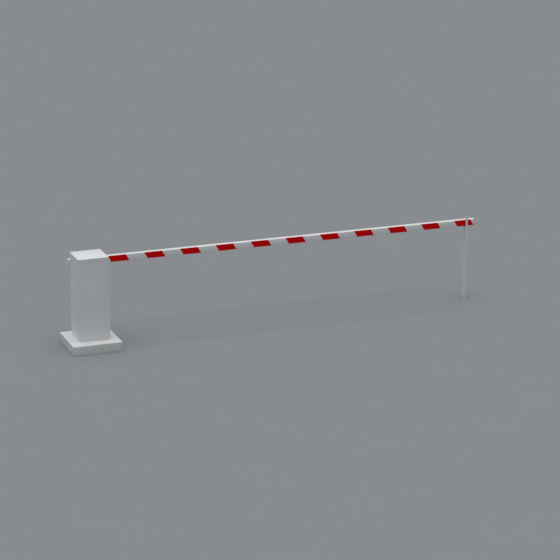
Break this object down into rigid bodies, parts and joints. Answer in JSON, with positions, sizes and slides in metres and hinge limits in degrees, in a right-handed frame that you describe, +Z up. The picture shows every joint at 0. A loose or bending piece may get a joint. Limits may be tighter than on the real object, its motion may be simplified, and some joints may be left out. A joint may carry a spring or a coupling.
{
  "type": "boom barrier gate",
  "caption": "Automatic boom barrier: white steel cabinet on a plinth, long striped boom on a counterbalanced shaft, and a forked rest post at the tip.",
  "frame": {"origin": "centre of the plinth's underside, on the ground", "axes": "+X along the lowered boom towards its tip, +Z up, -Y the cabinet's door side, +Y the side that carries the boom"},
  "size_m": [4.772, 0.546, 1],
  "materials": {
    "white_paint": "matt white powder coat",
    "plinth_concrete": "smooth cast concrete, sealed white",
    "zinc_plate": "zinc plated steel",
    "boom_aluminium": "white coated extrusion with red film stripes",
    "white_plastic": "moulded",
    "black_rubber": "matt",
    "casting_grey": "grey machine enamel",
    "motor_blue": "machine enamel",
    "spring_steel": "oiled dark spring steel",
    "bright_steel": "ground and turned",
    "nickel_brass": "nickel plated",
    "black_plastic": "moulded",
    "grey_plastic": "moulded",
    "circuit_board": "solder mask"
  },
  "bodies": {
    "cabinet": {"anchor_bolt_1": "zinc_plate", "anchor_bolt_2": "zinc_plate", "anchor_bolt_3": "zinc_plate", "anchor_bolt_4": "zinc_plate", "base_frame": "zinc_plate", "base_plinth": "plinth_concrete", "bearing_bracket": "casting_grey", "bearing_front": "casting_grey", "bearing_rear": "casting_grey", "cabinet_shell": "white_paint", "cable_gland": "black_plastic", "chassis_plate": "zinc_plate", "control_board": "circuit_board", "control_box": "grey_plastic", "control_cover": "grey_plastic", "door_pin_bottom": "bright_steel", "door_pin_top": "bright_steel", "drive_shelf": "zinc_plate", "fork_pad": "black_rubber", "fork_screw": "zinc_plate", "gearbox": "casting_grey", "lid": "white_paint", "lid_screw_1": "zinc_plate", "lid_screw_2": "zinc_plate", "lock_barrel": "nickel_brass", "motor": "motor_blue", "rest_fork": "white_paint", "rest_post": "white_paint", "sensor_closed": "nickel_brass", "sensor_open": "nickel_brass", "stop_block_closed": "zinc_plate", "stop_block_open": "zinc_plate", "stop_buffer_closed": "black_rubber", "stop_buffer_open": "black_rubber", "torsion_spring": "spring_steel"},
    "boom": {"main_shaft": "bright_steel", "spring_collar": "zinc_plate", "shaft_lever": "casting_grey", "lever_pin": "bright_steel", "hub_flange": "zinc_plate", "boom_clamp": "white_paint", "clamp_bolt_1": "zinc_plate", "clamp_bolt_2": "zinc_plate", "clamp_bolt_3": "zinc_plate", "clamp_bolt_4": "zinc_plate", "boom_tube": "boom_aluminium", "boom_tail_cap": "white_plastic", "boom_tip_cap": "white_plastic"},
    "crank": {"output_shaft": "bright_steel", "crank_arm": "casting_grey", "crank_pin": "bright_steel"},
    "link": {"link_rod": "bright_steel", "rod_end_top": "zinc_plate", "rod_end_bottom": "zinc_plate"},
    "manual_wheel": {"handwheel": "black_plastic"},
    "door": {"door_panel": "white_paint", "door_gasket": "black_rubber", "door_keeper": "zinc_plate"},
    "lock": {"lock_plug": "nickel_brass", "lock_cam": "zinc_plate"}
  },
  "joints": [
    {"name": "boom_lift", "type": "hinge", "parent": "cabinet", "child": "boom", "pos_m": [0.006, 0, 0.875], "axis": [0, -1, 0], "range_deg": [0, 90], "deforming": ["torsion_spring"]},
    {"name": "crank_turn", "type": "hinge", "parent": "cabinet", "child": "crank", "pos_m": [0.006, 0, 0.605], "axis": [0, -1, 0], "range_deg": [0, 90]},
    {"name": "link_swing", "type": "hinge", "parent": "boom", "child": "link", "pos_m": [-0.0435, 0, 0.9245], "axis": [0, -1, 0], "range_deg": [-90, 0]},
    {"name": "handwheel_turn", "type": "hinge", "parent": "cabinet", "child": "manual_wheel", "pos_m": [0.056, -0.013, 0.3105], "axis": [0, 0, 1], "range_deg": [0, 5400]},
    {"name": "door_swing", "type": "hinge", "parent": "cabinet", "child": "door", "pos_m": [-0.1552, -0.1432, 0.5435], "axis": [0, 0, -1], "range_deg": [0, 115]},
    {"name": "lock_turn", "type": "hinge", "parent": "cabinet", "child": "lock", "pos_m": [0.172, -0.09, 0.62], "axis": [1, 0, 0], "range_deg": [0, 90]}
  ],
  "couplings": [
    {"joint": "crank_turn", "follows": "boom_lift", "ratio": 1},
    {"joint": "link_swing", "follows": "boom_lift", "ratio": -1},
    {"joint": "handwheel_turn", "follows": "boom_lift", "ratio": 60}
  ]
}
